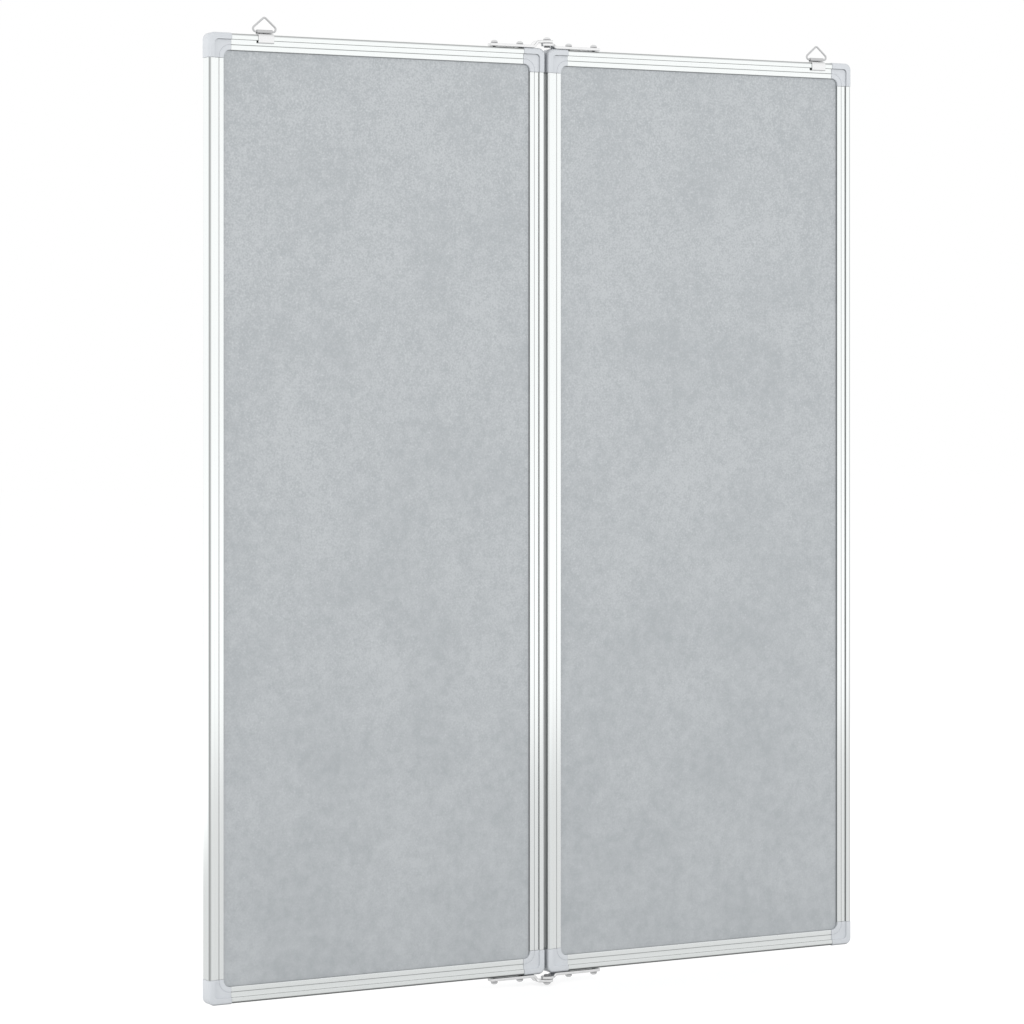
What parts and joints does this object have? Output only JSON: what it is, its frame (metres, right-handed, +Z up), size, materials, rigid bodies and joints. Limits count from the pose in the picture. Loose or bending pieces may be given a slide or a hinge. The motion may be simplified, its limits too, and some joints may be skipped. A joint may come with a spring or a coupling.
{
  "type": "folding magnetic whiteboard",
  "caption": "Folding magnetic whiteboard: steel-faced panels in aluminium rails with moulded corner caps, joined by riveted strap hinges, with wire ring hangers.",
  "frame": {"origin": "centre of the open board: middle of the hinge gap, of the height and of the rails' thickness", "axes": "+X to the right as the grey backs are seen, +Z up, +Y out of the white writing faces"},
  "size_m": [0.8, 0.0253, 1.0304],
  "materials": {
    "rail_aluminium": "satin anodised extrusion, fine lines along its length",
    "cap_plastic": "light bluish-grey moulded plastic, fine satin",
    "hinge_steel": "bright zinc-plated strip",
    "screw_steel": "bright plated pan head",
    "rivet_steel": "polished dome",
    "clip_steel": "bright plated sheet",
    "ring_wire": "bright plated wire",
    "back_steel": "bluish-grey mottled galvanised sheet",
    "white_enamel": "gloss white dry-wipe enamel",
    "fibre_core": "raw fibreboard"
  },
  "bodies": {
    "left_panel": {"left_core_board": "fibre_core", "left_writing_sheet": "white_enamel", "left_back_sheet": "back_steel", "left_top_rail": "rail_aluminium", "left_bottom_rail": "rail_aluminium", "left_hinge_stile": "rail_aluminium", "left_outer_stile": "rail_aluminium", "left_top_hinge_cap": "cap_plastic", "left_bottom_hinge_cap": "cap_plastic", "left_top_outer_cap": "cap_plastic", "left_bottom_outer_cap": "cap_plastic", "left_top_hinge_leaf": "hinge_steel", "left_bottom_hinge_leaf": "hinge_steel", "left_top_inner_screw": "screw_steel", "left_top_outer_screw": "screw_steel", "left_bottom_inner_screw": "screw_steel", "left_bottom_outer_screw": "screw_steel", "left_hanger_clip": "clip_steel", "top_hinge_rivet": "rivet_steel", "bottom_hinge_rivet": "rivet_steel"},
    "right_panel": {"right_core_board": "fibre_core", "right_writing_sheet": "white_enamel", "right_back_sheet": "back_steel", "right_top_rail": "rail_aluminium", "right_bottom_rail": "rail_aluminium", "right_hinge_stile": "rail_aluminium", "right_outer_stile": "rail_aluminium", "right_top_hinge_cap": "cap_plastic", "right_bottom_hinge_cap": "cap_plastic", "right_top_outer_cap": "cap_plastic", "right_bottom_outer_cap": "cap_plastic", "right_top_hinge_leaf": "hinge_steel", "right_bottom_hinge_leaf": "hinge_steel", "right_top_inner_screw": "screw_steel", "right_top_outer_screw": "screw_steel", "right_bottom_inner_screw": "screw_steel", "right_bottom_outer_screw": "screw_steel", "right_hanger_clip": "clip_steel"},
    "left_ring": {"left_hanger_ring": "ring_wire"},
    "right_ring": {"right_hanger_ring": "ring_wire"}
  },
  "joints": [
    {"name": "fold", "type": "hinge", "parent": "left_panel", "child": "right_panel", "pos_m": [0, -0.0095, 0], "axis": [0, 0, -1], "range_deg": [-7, 180]},
    {"name": "left_ring_swing", "type": "hinge", "parent": "left_panel", "child": "left_ring", "pos_m": [-0.335, -0.0042, 0.5027], "axis": [1, 0, 0], "range_deg": [-95, 30]},
    {"name": "right_ring_swing", "type": "hinge", "parent": "right_panel", "child": "right_ring", "pos_m": [0.355, -0.0042, 0.5027], "axis": [1, 0, 0], "range_deg": [-95, 30]}
  ]
}
